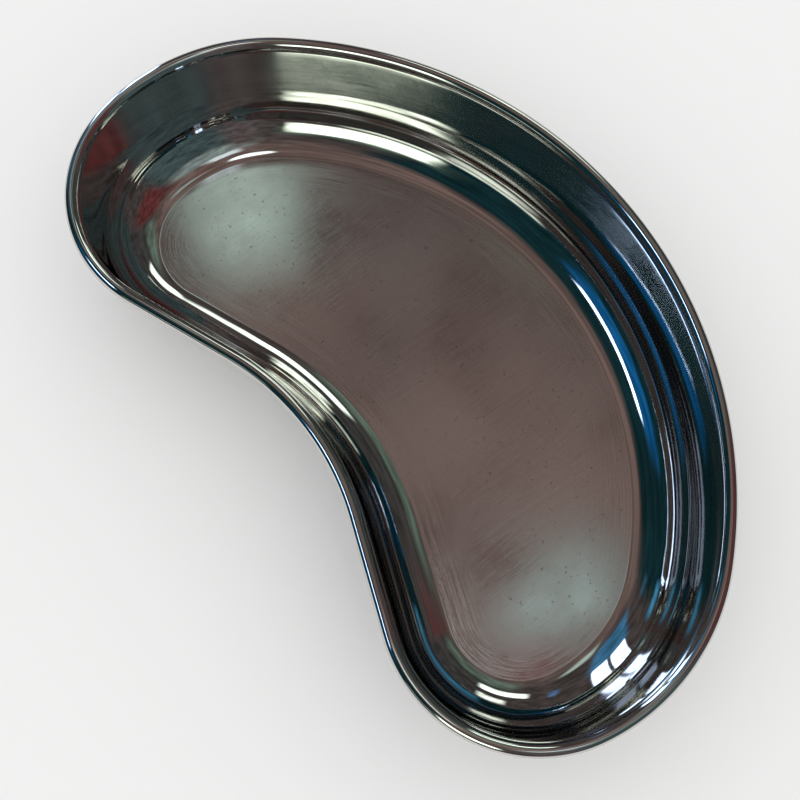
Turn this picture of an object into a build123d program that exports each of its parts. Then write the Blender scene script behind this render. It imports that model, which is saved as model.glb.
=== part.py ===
from build123d import *
import os
from math import asin, atan2, cos, degrees, hypot, radians, sin

os.makedirs("parts", exist_ok=True)

# Kidney dish: one stainless sheet pressed into a kidney-shaped bowl, its rim rolled outwards
# and down over a stiffening wire. X runs along the length, the convex back faces +Y and the
# origin is under the middle of the dish, on the surface it stands on. Millimetres, degrees.

# overall
length = 250.0
height = 42.0
sheet = 0.7

# rim outline, seen from above: a chain of arcs that run into each other smoothly
back_turn = 50.5  # turn of the broad convex back, from its middle to one shoulder
shoulder_radius = 69.0
shoulder_turn = 53.0
lobe_radius = 45.0
lobe_turn = 98.0
flank = 35.0  # straight stretch between a lobe and the hollow waist

# section through the wall, on the side that holds the contents
wall_reach = 22.5  # level distance from the rim's outer edge to the edge of the flat floor
edge_radius = 2.5  # tighter bend where the wall leaves the floor
edge_slope = 8.0
cove_radius = 18.0
flare_radius = 5.0
lip_slope = 55.0  # slope at which the flared wall runs into the rolled bead
bead_radius = 2.1
curl_turn = 285.0  # how far the sheet is rolled round the wire
wire_clearance = 0.1

# rim outline, worked out: every arc's centre follows from the one before
back_radius = shoulder_radius + (length / 2 - shoulder_radius) / sin(radians(back_turn))
shoulder_drop = (back_radius - shoulder_radius) * cos(radians(back_turn))
lobe_drop = (shoulder_radius - lobe_radius) * cos(radians(back_turn + shoulder_turn))
width = back_radius - shoulder_drop - lobe_drop + lobe_radius
back_y = width / 2
waist_turn = back_turn + shoulder_turn + lobe_turn - 180

# wall, worked out: the straight wall is the line that touches the cove and the flare
bead_y = back_y - bead_radius
bead_z = height - bead_radius
flare_y = bead_y + (flare_radius - bead_radius) * sin(radians(lip_slope))
flare_z = bead_z - (flare_radius - bead_radius) * cos(radians(lip_slope))
floor_y = back_y - wall_reach
radius_step = cove_radius - edge_radius
cove_y = floor_y - radius_step * sin(radians(edge_slope))
cove_z = sheet + edge_radius + radius_step * cos(radians(edge_slope))
centre_run = flare_y - cove_y
centre_rise = flare_z - cove_z
centre_gap = hypot(centre_run, centre_rise)
both_radii = cove_radius + flare_radius
wall_slope = degrees(atan2(centre_rise, centre_run) + asin(both_radii / centre_gap))
wall_length = (centre_gap**2 - both_radii**2) ** 0.5


def half_outline(inset):
    """Right half of the rim outline moved inwards by inset, from the middle of the back."""
    back = JernArc((0, back_y - inset), (1, 0), back_radius - inset, -back_turn)
    shoulder = JernArc(back @ 1, back % 1, shoulder_radius - inset, -shoulder_turn)
    lobe = JernArc(shoulder @ 1, shoulder % 1, lobe_radius - inset, -lobe_turn)
    side = Line(lobe @ 1, lobe @ 1 + (lobe % 1) * flank)
    waist_radius = (side @ 1).X / sin(radians(waist_turn))
    JernArc(side @ 1, side % 1, waist_radius, waist_turn)


def wall_line(depth):
    """Line of the wall's section at a depth below its inner face, from the floor to the curl."""
    edge = JernArc((floor_y, sheet - depth), (1, 0), edge_radius + depth, edge_slope)
    cove = JernArc(edge @ 1, edge % 1, cove_radius + depth, wall_slope - edge_slope)
    wall = Line(cove @ 1, cove @ 1 + (cove % 1) * wall_length)
    flare = JernArc(wall @ 1, wall % 1, flare_radius - depth, lip_slope - wall_slope)
    curl = JernArc(flare @ 1, flare % 1, bead_radius - depth, -curl_turn)
    return edge @ 0, curl @ 1


with BuildPart() as dish_shell:
    # the flat floor
    with BuildSketch():
        with BuildLine():
            half_outline(wall_reach)
            mirror(about=Plane.YZ)
        make_face()
    extrude(amount=sheet)
    # edge, cove, wall, flare and rolled bead, drawn at the middle of the back and carried round
    with BuildLine() as rim_path:
        half_outline(0)
        mirror(about=Plane.YZ)
    with BuildSketch(Plane.YZ) as wall_section:
        with BuildLine():
            inner_start, inner_end = wall_line(0)
            outer_start, outer_end = wall_line(sheet)
            Line(inner_start, outer_start)
            Line(inner_end, outer_end)
        make_face()
    sweep(path=rim_path.line)
dish_shell.part.label = "dish_shell"
export_step(dish_shell.part, "parts/dish_shell.step")

with BuildPart() as rim_wire:
    with BuildLine(Plane.XY.offset(bead_z)) as wire_path:
        half_outline(bead_radius)
        mirror(about=Plane.YZ)
    with BuildSketch(Plane.YZ):
        with Locations((bead_y, bead_z)):
            Circle(bead_radius - sheet - wire_clearance)
    sweep(path=wire_path.line)
rim_wire.part.label = "rim_wire"
export_step(rim_wire.part, "parts/rim_wire.step")
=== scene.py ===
import math

import bpy
import numpy as np
from mathutils import Matrix, Vector


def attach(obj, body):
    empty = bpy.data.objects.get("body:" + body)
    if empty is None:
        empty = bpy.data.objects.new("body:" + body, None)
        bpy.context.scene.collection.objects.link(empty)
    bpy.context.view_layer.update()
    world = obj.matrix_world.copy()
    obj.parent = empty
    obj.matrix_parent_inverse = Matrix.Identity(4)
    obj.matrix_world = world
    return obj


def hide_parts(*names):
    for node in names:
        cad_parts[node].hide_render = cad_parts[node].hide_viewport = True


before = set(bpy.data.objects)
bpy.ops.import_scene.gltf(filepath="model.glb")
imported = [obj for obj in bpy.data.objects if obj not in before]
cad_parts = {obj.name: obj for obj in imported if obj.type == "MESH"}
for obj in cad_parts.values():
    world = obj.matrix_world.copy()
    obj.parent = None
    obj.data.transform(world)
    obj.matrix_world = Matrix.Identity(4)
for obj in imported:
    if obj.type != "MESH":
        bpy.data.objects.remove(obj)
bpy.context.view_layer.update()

# Kidney dish. Lengths in millimetres, turned to metres when a mesh is made; angles in degrees.
MM = 0.001
LENGTH = 250.0
HEIGHT = 42.0
SHEET = 0.7

# rim outline from above, from the middle of the convex back round one lobe to the waist
BACK_TURN = 50.5
SHOULDER_RADIUS = 69.0
SHOULDER_TURN = 53.0
LOBE_RADIUS = 45.0
LOBE_TURN = 98.0
FLANK = 35.0

# section through the wall
WALL_REACH = 22.5
EDGE_RADIUS = 2.5
EDGE_SLOPE = 8.0
COVE_RADIUS = 18.0
FLARE_RADIUS = 5.0
LIP_SLOPE = 55.0
BEAD_RADIUS = 2.1
CURL_TURN = 285.0

OUTLINE_STEP = 1.1
SECTION_STEPS = [0.09, 1.0, 1.8, 0.35, 0.45]  # floor edge, cove, wall, flare, bead
FLOOR_RINGS = [0.3, 1.0, 3.0, 6.0, 9.0, 12.0, 15.0, 18.0]  # insets from the floor's edge
GROUND_REACH = 3.0  # metres
GROUND_DROP = 0.0002  # metres, so that the ground and the underside don't share a plane

rad = math.radians
back_radius = SHOULDER_RADIUS + (LENGTH / 2 - SHOULDER_RADIUS) / math.sin(rad(BACK_TURN))
shoulder_drop = (back_radius - SHOULDER_RADIUS) * math.cos(rad(BACK_TURN))
lobe_drop = (SHOULDER_RADIUS - LOBE_RADIUS) * math.cos(rad(BACK_TURN + SHOULDER_TURN))
WIDTH = back_radius - shoulder_drop - lobe_drop + LOBE_RADIUS
waist_turn = BACK_TURN + SHOULDER_TURN + LOBE_TURN - 180

# the straight wall is the line that touches the cove and the flare
flare_inset = BEAD_RADIUS - (FLARE_RADIUS - BEAD_RADIUS) * math.sin(rad(LIP_SLOPE))
flare_height = HEIGHT - BEAD_RADIUS - (FLARE_RADIUS - BEAD_RADIUS) * math.cos(rad(LIP_SLOPE))
radius_step = COVE_RADIUS - EDGE_RADIUS
centre_run = WALL_REACH + radius_step * math.sin(rad(EDGE_SLOPE)) - flare_inset
centre_rise = flare_height - SHEET - EDGE_RADIUS - radius_step * math.cos(rad(EDGE_SLOPE))
centre_gap = math.hypot(centre_run, centre_rise)
both_radii = COVE_RADIUS + FLARE_RADIUS
WALL_SLOPE = math.degrees(math.atan2(centre_rise, centre_run) + math.asin(both_radii / centre_gap))
WALL_LENGTH = math.sqrt(centre_gap**2 - both_radii**2)


# ---------------------------------------------------------------- outline and section
def walk(pieces, x, y, heading, steps):
    """Points along lines and arcs that run into each other: x, y, heading, length so far.
    A piece is (radius, turn), the turn positive to the left, or (None, length) for a straight."""
    out = [(x, y, heading, 0.0)]
    gone = 0.0
    for (radius, amount), step in zip(pieces, steps):
        size = amount if radius is None else radius * abs(rad(amount))
        count = max(2, round(size / step))
        side = 0 if radius is None else math.copysign(1, amount)
        for k in range(1, count + 1):
            part = size * k / count
            if radius is None:
                point = (x + math.cos(heading) * part, y + math.sin(heading) * part, heading)
            else:
                turned = heading + side * part / radius
                point = (
                    x + side * radius * (math.sin(turned) - math.sin(heading)),
                    y - side * radius * (math.cos(turned) - math.cos(heading)),
                    turned,
                )
            out.append((*point, gone + part))
        x, y, heading, gone = out[-1]
    return np.array(out)


def rim_outline(step):
    """Closed rim outline, clockwise from the middle of the back: points, inward normals, lengths."""
    half = [
        (back_radius, -BACK_TURN),
        (SHOULDER_RADIUS, -SHOULDER_TURN),
        (LOBE_RADIUS, -LOBE_TURN),
        (None, FLANK),
    ]
    flank_end = walk(half, 0.0, WIDTH / 2, 0.0, [step] * 4)[-1]
    waist_radius = flank_end[0] / math.sin(rad(waist_turn))
    side = walk(half + [(waist_radius, waist_turn)], 0.0, WIDTH / 2, 0.0, [step] * 5)
    points = side[:, :2]
    inward = np.c_[np.sin(side[:, 2]), -np.cos(side[:, 2])]
    flip = np.array([-1.0, 1.0])
    points = np.r_[points, points[-2:0:-1] * flip]
    inward = np.r_[inward, inward[-2:0:-1] * flip]
    lengths = np.r_[side[:, 3], 2 * side[-1, 3] - side[-2:0:-1, 3]]
    return points, inward, lengths


def wall_section(depth):
    """Section at a depth below the inner face, floor edge to curl end: inset, height, length."""
    pieces = [
        (EDGE_RADIUS + depth, EDGE_SLOPE),
        (COVE_RADIUS + depth, WALL_SLOPE - EDGE_SLOPE),
        (None, WALL_LENGTH),
        (FLARE_RADIUS - depth, LIP_SLOPE - WALL_SLOPE),
        (BEAD_RADIUS - depth, -CURL_TURN),
    ]
    line = walk(pieces, -WALL_REACH, SHEET - depth, 0.0, SECTION_STEPS)
    return np.c_[-line[:, 0], line[:, 1], line[:, 3]]


# ---------------------------------------------------------------- meshes
def make_object(name, verts, faces, body, material_index, uvs):
    """Mesh object that rides on a body; uvs are given per vertex."""
    mesh = bpy.data.meshes.new(name)
    mesh.from_pydata([tuple(v) for v in verts], [], faces)
    layer = mesh.uv_layers.new(name="run")
    loops = np.zeros(len(mesh.loops), int)
    mesh.loops.foreach_get("vertex_index", loops)
    layer.data.foreach_set("uv", np.asarray(uvs, np.float32)[loops].ravel())
    mesh.polygons.foreach_set("material_index", material_index)
    mesh.polygons.foreach_set("use_smooth", [True] * len(mesh.polygons))
    mesh.update()
    obj = bpy.data.objects.new(name, mesh)
    bpy.context.scene.collection.objects.link(obj)
    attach(obj, body)
    return obj


POLISHED, SATIN, UNDER = 0, 1, 2  # the dish's materials


def build_shell():
    """The whole pressed sheet as one closed skin: floor, wall, bead, and the same again outside."""
    points, inward, lengths = rim_outline(OUTLINE_STEP)
    count = len(points)
    inner = wall_section(0.0)
    outer = wall_section(SHEET)
    # two rings across the sheet's cut edge, at the end of the curl
    cut = inner[-1] + (outer[-1] - inner[-1]) * np.linspace(0, 1, 4)[1:-1, None]
    loop = np.r_[inner, cut, outer[::-1]]
    rings = len(loop)
    ring_length = np.r_[inner[:, 2], np.full(len(cut), inner[-1, 2]), outer[::-1, 2]]

    verts, uvs = [], []
    for inset, height, run in zip(loop[:, 0], loop[:, 1], ring_length):
        ring = points + inward * inset
        verts.append(np.c_[ring, np.full(count, height)])
        uvs.append(np.c_[lengths, np.full(count, run)])
    verts, uvs = np.concatenate(verts), np.concatenate(uvs)
    faces, kinds = [], []
    nxt = (np.arange(count) + 1) % count
    for r in range(rings - 1):
        a, b = r * count + np.arange(count), r * count + nxt
        quads = np.c_[a, b, b + count, a + count]
        faces += quads.tolist()
        kinds += [POLISHED if r < len(inner) - 1 else UNDER] * count

    def floor(start, height, up, kind):
        """Rings of quads inwards from a wall's first ring, and one flat face in the middle."""
        nonlocal verts, uvs
        last = start + np.arange(count)
        for extra in FLOOR_RINGS:
            ring = points + inward * (WALL_REACH + extra)
            base = len(verts)
            verts = np.concatenate([verts, np.c_[ring, np.full(count, height)]])
            uvs = np.concatenate([uvs, np.c_[lengths, np.full(count, -extra)]])
            new = base + np.arange(count)
            quads = np.c_[last, new, new[nxt], last[nxt]]
            if not up:
                quads = quads[:, [0, 3, 2, 1]]
            faces.extend(quads.tolist())
            kinds.extend([kind] * count)
            last = new
        faces.append(last[::-1].tolist() if up else last.tolist())
        kinds.append(kind)

    floor(0, SHEET, True, SATIN)
    floor((rings - 1) * count, 0.0, False, UNDER)
    return make_object("dish", verts * MM, faces, "root", kinds, uvs * MM)


dish = build_shell()
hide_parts("dish_shell")
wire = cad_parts["rim_wire"]


# ---------------------------------------------------------------- materials
class Nodes:
    """Short ways to add shader nodes to one node tree."""

    def __init__(self, tree):
        self.tree = tree
        tree.nodes.clear()

    def add(self, kind, **settings):
        """New node with its settings."""
        node = self.tree.nodes.new(kind)
        for key, value in settings.items():
            setattr(node, key, value)
        return node

    def put(self, value, socket):
        """Link a socket to a socket, or set a plain value on it."""
        if isinstance(value, bpy.types.NodeSocket):
            self.tree.links.new(value, socket)
        else:
            socket.default_value = value

    def math(self, operation, *values):
        node = self.add("ShaderNodeMath", operation=operation)
        for k, value in enumerate(values):
            self.put(value, node.inputs[k])
        return node.outputs[0]

    def mix(self, factor, a, b):
        """Colour between a and b."""
        node = self.add("ShaderNodeMix", data_type="RGBA")
        for value, k in ((factor, 0), (a, 6), (b, 7)):
            self.put(value, node.inputs[k])
        return node.outputs[2]

    def blend(self, factor, a, b):
        """Number between a and b."""
        node = self.add("ShaderNodeMix", data_type="FLOAT")
        for value, k in ((factor, 0), (a, 2), (b, 3)):
            self.put(value, node.inputs[k])
        return node.outputs[0]

    def vector_scale(self, vector, factor):
        node = self.add("ShaderNodeVectorMath", operation="SCALE")
        self.put(vector, node.inputs[0])
        self.put(factor, node.inputs["Scale"])
        return node.outputs[0]

    def ramp(self, value, stops):
        """Smooth step; stops are from low, from high, to low, to high."""
        node = self.add("ShaderNodeMapRange", interpolation_type="SMOOTHSTEP")
        for k, number in enumerate(stops):
            node.inputs[k + 1].default_value = number
        self.put(value, node.inputs[0])
        return node.outputs[0]

    def noise(self, vector, scale, detail, rough):
        node = self.add("ShaderNodeTexNoise")
        self.put(vector, node.inputs["Vector"])
        for name, number in (("Scale", scale), ("Detail", detail), ("Roughness", rough)):
            node.inputs[name].default_value = number
        return node.outputs["Fac"]

    def stretch(self, vector, turn, scale):
        """Vector scaled along its own axes, then turned about Z."""
        node = self.add("ShaderNodeMapping")
        self.put(vector, node.inputs["Vector"])
        node.inputs["Rotation"].default_value = (0, 0, rad(turn))
        node.inputs["Scale"].default_value = scale
        return node.outputs[0]


def new_material(name):
    """Plain metal material, its nodes and its Principled shader."""
    material = bpy.data.materials.new(name)
    material.use_nodes = True
    n = Nodes(material.node_tree)
    shader = n.add("ShaderNodeBsdfPrincipled")
    out = n.add("ShaderNodeOutputMaterial")
    material.node_tree.links.new(shader.outputs[0], out.inputs[0])
    shader.inputs["Metallic"].default_value = 1.0
    return material, n, shader


def bump(n, shader, height, distance, strength, previous=None):
    """Bump from a height, on top of an earlier one if given; drives the shader's normal."""
    node = n.add("ShaderNodeBump")
    node.inputs["Strength"].default_value = strength
    node.inputs["Distance"].default_value = distance
    n.put(height, node.inputs["Height"])
    if previous is not None:
        n.put(previous, node.inputs["Normal"])
    n.put(node.outputs[0], shader.inputs["Normal"])
    return node.outputs[0]


def shade(base, factor):
    """Base colour made darker or lighter, with its alpha."""
    return (*[c * factor for c in base], 1)


def polished_steel(name, base, low, high):
    """Mirror steel with fine polishing lines that run round the dish and faint waves."""
    material, n, shader = new_material(name)
    uv = n.add("ShaderNodeUVMap", uv_map="run").outputs[0]
    place = n.add("ShaderNodeTexCoord").outputs["Object"]
    lines = n.noise(n.stretch(uv, 0, (14, 2600, 1)), 1.0, 3.0, 0.65)
    marks = n.noise(n.stretch(uv, 0, (30, 900, 1)), 1.0, 3.0, 0.6)
    scuffs = n.noise(n.stretch(uv, 24, (90, 2400, 1)), 1.0, 2.0, 0.5)
    cloud = n.noise(place, 45, 3.0, 0.6)
    tone = n.math("ADD", n.math("MULTIPLY", cloud, 0.6), n.math("MULTIPLY", marks, 0.4))
    n.put(n.mix(tone, shade(base, 0.82), shade(base, 1.08)), shader.inputs["Base Color"])
    worn = n.math("ADD", n.math("MULTIPLY", marks, cloud), n.ramp(scuffs, (0.68, 0.76, 0, 0.25)))
    n.put(n.ramp(worn, (0.1, 0.5, low, high)), shader.inputs["Roughness"])
    wave = bump(n, shader, n.noise(place, 60, 1.0, 0.4), 0.00012, 0.5)
    bump(n, shader, lines, 0.000006, 0.5, wave)
    return material


def satin_steel(name, base, low, high):
    """Steel rubbed to a soft sheen: strokes, arcs that follow the wall, and tiny dark pits."""
    material, n, shader = new_material(name)
    place = n.add("ShaderNodeTexCoord").outputs["Object"]
    uv = n.add("ShaderNodeUVMap", uv_map="run").outputs[0]
    split = n.add("ShaderNodeSeparateXYZ")
    n.put(uv, split.inputs[0])
    # arcs within about 4 mm of the floor's edge, which give way to strokes by 17.5 mm
    near_wall = n.ramp(split.outputs[1], (-0.0175, -0.004, 0, 1))
    strokes = n.noise(n.stretch(place, -58, (3000, 70, 1)), 1.0, 3.0, 0.65)
    cross = n.noise(n.stretch(place, 16, (90, 3400, 1)), 1.0, 3.0, 0.65)
    arcs = n.noise(n.stretch(uv, 0, (35, 2600, 1)), 1.0, 3.0, 0.65)
    cloud = n.noise(place, 26, 4.0, 0.65)
    rub = n.math("ADD", n.math("MULTIPLY", strokes, 0.7), n.math("MULTIPLY", cross, 0.3))
    rub = n.blend(near_wall, rub, arcs)
    pits = n.ramp(n.noise(place, 900, 1.0, 0.5), (0.7, 0.77, 0, 1))
    grain = n.noise(place, 1500, 3.0, 0.7)
    rub = n.math("ADD", n.math("MULTIPLY", rub, 0.7), n.math("MULTIPLY", grain, 0.3))
    tone = n.mix(n.ramp(rub, (0.38, 0.62, 0, 1)), shade(base, 0.93), shade(base, 1.04))
    tone = n.mix(n.math("MULTIPLY", pits, 0.45), tone, shade(base, 0.35))
    n.put(tone, shader.inputs["Base Color"])
    worn = n.math("ADD", rub, n.math("MULTIPLY", cloud, 0.6))
    n.put(n.ramp(worn, (0.6, 0.95, low, high)), shader.inputs["Roughness"])
    coarse = bump(n, shader, cloud, 0.00005, 0.5)
    bump(n, shader, n.math("SUBTRACT", rub, pits), 0.000005, 0.6, coarse)
    return material


STEEL = (0.66, 0.645, 0.63)
RUBBED_STEEL = (0.65, 0.635, 0.62)
WIRE_STEEL = (0.5, 0.5, 0.49)
GROUND_COLOUR = (0.82, 0.82, 0.815, 1)
GROUND_ROUGHNESS = 0.9

# in the order of POLISHED, SATIN and UNDER
dish.data.materials.append(polished_steel("polished_steel", STEEL, 0.02, 0.06))
dish.data.materials.append(satin_steel("satin_steel", RUBBED_STEEL, 0.045, 0.15))
dish.data.materials.append(polished_steel("polished_steel_outside", STEEL, 0.05, 0.12))
wire.data.materials.clear()
wire.data.materials.append(satin_steel("wire_steel", WIRE_STEEL, 0.25, 0.4))


# ---------------------------------------------------------------- floor, light and camera
def build_ground():
    """Plain pale floor."""
    mesh = bpy.data.meshes.new("ground")
    corners = [(-1, -1, 0), (1, -1, 0), (1, 1, 0), (-1, 1, 0)]
    mesh.from_pydata([Vector(corner) * GROUND_REACH for corner in corners], [], [(0, 1, 2, 3)])
    ground = bpy.data.objects.new("ground", mesh)
    ground.location.z = -GROUND_DROP
    bpy.context.scene.collection.objects.link(ground)
    material, _, shader = new_material("ground")
    shader.inputs["Metallic"].default_value = 0.0
    shader.inputs["Base Color"].default_value = GROUND_COLOUR
    shader.inputs["Roughness"].default_value = GROUND_ROUGHNESS
    mesh.materials.append(material)


build_ground()

# soft lights and flags round the dish, seen only in reflections, later ones over earlier ones:
# azimuth from +X towards +Y, half width, softness; lowest and highest elevation, softness; colour
ROOM = (0.075, 0.062, 0.06)
OVERHEAD = (0.185, 0.13, 0.117)
PLAIN_LIGHT = (1.1, 1.1, 1.1, 1)
WINDOWS_AZIMUTH = 205
PANELS = [
    ((244, 46, 14), (-20, 70, 10), (0.006, 0.03, 0.036)),
    ((2, 30, 16), (-20, 54, 8), (0.065, 0.1, 0.105)),
    ((2, 30, 18), (54, 70, 8), (0.3, 0.38, 0.37)),
    ((338, 10, 14), (4, 66, 14), (0.12, 0.1, 0.1)),
    ((57, 20, 12), (34, 66, 14), (0.14, 0.039, 0.039)),
    ((100, 24, 14), (-10, 60, 12), (0.055, 0.055, 0.052)),
    ((104, 22, 12), (52, 64, 8), (0.14, 0.2, 0.16)),
    ((123, 13, 5), (37.5, 46, 3), (2.4, 2.8, 2.5)),
    ((118, 7, 4), (19, 28, 4), (1.6, 1.8, 1.6)),
    ((152, 3, 3), (33, 42, 5), (0.12, 0.22, 0.42)),
    ((175, 9, 6), (35, 60, 8), (0.06, 0.22, 0.4)),
    ((170.3, 3.3, 1), (5, 36, 4), (3.0, 3.9, 5.4)),
    ((178.7, 3.3, 1), (5, 36, 4), (3.0, 3.9, 5.4)),
    ((200, 6, 5), (15, 23, 5), (0.07, 0.3, 0.5)),
    ((200, 4, 3), (44, 50, 3), (0.03, 0.1, 0.16)),
    ((238, 15, 9), (28, 46, 8), (0.008, 0.13, 0.36)),
    ((237, 11, 3), (45.5, 50, 2), (4.0, 5.4, 7.6)),
    ((285, 19, 5), (18, 22, 3), (1.2, 1.35, 1.15)),
    ((300, 15, 20), (34, 49, 12), (0.15, 0.23, 0.18)),
    ((300, 14, 6), (26, 45, 5), (2.8, 3.2, 2.7)),
    ((2, 16, 12), (71, 78, 3), (0.9, 1.05, 1.1)),
    ((157, 6, 5), (60, 66.5, 4), (0.48, 0.62, 0.56)),
    ((86, 9, 9), (76, 82, 4), (0.5, 0.62, 0.6)),
    ((72, 6, 5), (80.5, 83, 2), (0.3, 0.07, 0.08)),
    ((140, 2.2, 3), (64, 73, 3), (0.12, 0.098, 0.092)),
    ((0, 180, 0.1), (86.5, 100, 1.5), (2.0, 2.2, 2.2)),
]


def build_world():
    """Plain white surroundings, with the panels in their place for reflections only."""
    world = bpy.data.worlds.new("room")
    bpy.context.scene.world = world
    world.use_nodes = True
    n = Nodes(world.node_tree)
    way = n.add("ShaderNodeTexCoord").outputs["Generated"]
    split = n.add("ShaderNodeSeparateXYZ")
    n.put(way, split.inputs[0])
    x, y, z = split.outputs
    azimuth = n.math("MULTIPLY", n.math("ARCTAN2", y, x), 180 / math.pi)
    elevation = n.math("MULTIPLY", n.math("ARCSINE", z), 180 / math.pi)
    colour = n.mix(n.ramp(elevation, (56, 76, 0, 1)), (*ROOM, 1), (*OVERHEAD, 1))

    def away(centre):
        """Degrees between the ray's azimuth and another."""
        return n.math("ABSOLUTE", n.math("WRAP", n.math("SUBTRACT", azimuth, centre), 180, -180))

    for (centre, half, soft), (low, high, edge), paint in PANELS:
        across = n.ramp(away(centre), (half - soft / 2, half + soft / 2, 1, 0))
        up = n.ramp(elevation, (low - edge / 2, low + edge / 2, 0, 1))
        down = n.ramp(elevation, (high - edge / 2, high + edge / 2, 1, 0))
        mask = n.math("MULTIPLY", n.math("MULTIPLY", up, down), across)
        colour = n.mix(mask, colour, (*paint, 1))
    # soft unevenness, as a real room has
    patchy = n.ramp(n.noise(way, 11, 4.0, 0.6), (0.3, 0.7, 0.62, 1.38))
    colour = n.vector_scale(colour, patchy)
    ray = n.add("ShaderNodeLightPath")
    # the windows' side fades in light that is thrown from wall to wall more than twice
    deep = n.ramp(ray.outputs["Glossy Depth"], (1.8, 3.3, 0, 0.9))
    fade = n.math("MULTIPLY", deep, n.ramp(away(WINDOWS_AZIMUTH), (55, 70, 1, 0)))
    colour = n.vector_scale(colour, n.math("SUBTRACT", 1.0, fade))
    colour = n.mix(ray.outputs["Is Glossy Ray"], PLAIN_LIGHT, colour)
    shader = n.add("ShaderNodeBackground")
    n.put(colour, shader.inputs[0])
    out = n.add("ShaderNodeOutputWorld")
    world.node_tree.links.new(shader.outputs[0], out.inputs[0])


build_world()
bpy.context.scene.view_settings.view_transform = "Standard"


# fitted to the rim and floor lines in the photograph; place in mm, from the rim's middle at the back
LENS = 51.27
SENSOR = 36.0
NEAREST = 0.01  # metres
CAMERA_RIGHT = Vector((0.61443, 0.78863, 0.0231))
CAMERA_UP = Vector((-0.76181, 0.5854, 0.2774))
CAMERA_PLACE = Vector((80.57, -159.85, 324.82))


def build_camera():
    """Camera at the photograph's viewing angle."""
    data = bpy.data.cameras.new("camera")
    camera = bpy.data.objects.new("camera", data)
    bpy.context.scene.collection.objects.link(camera)
    bpy.context.scene.camera = camera
    data.sensor_width = SENSOR
    data.lens = LENS
    data.clip_start = NEAREST
    back = CAMERA_RIGHT.cross(CAMERA_UP).normalized()
    up = back.cross(CAMERA_RIGHT).normalized()
    rotation = Matrix((CAMERA_RIGHT.normalized(), up, back)).transposed()
    place = (CAMERA_PLACE + Vector((0, WIDTH / 2, HEIGHT - BEAD_RADIUS))) * MM
    camera.matrix_world = Matrix.Translation(place) @ rotation.to_4x4()


build_camera()
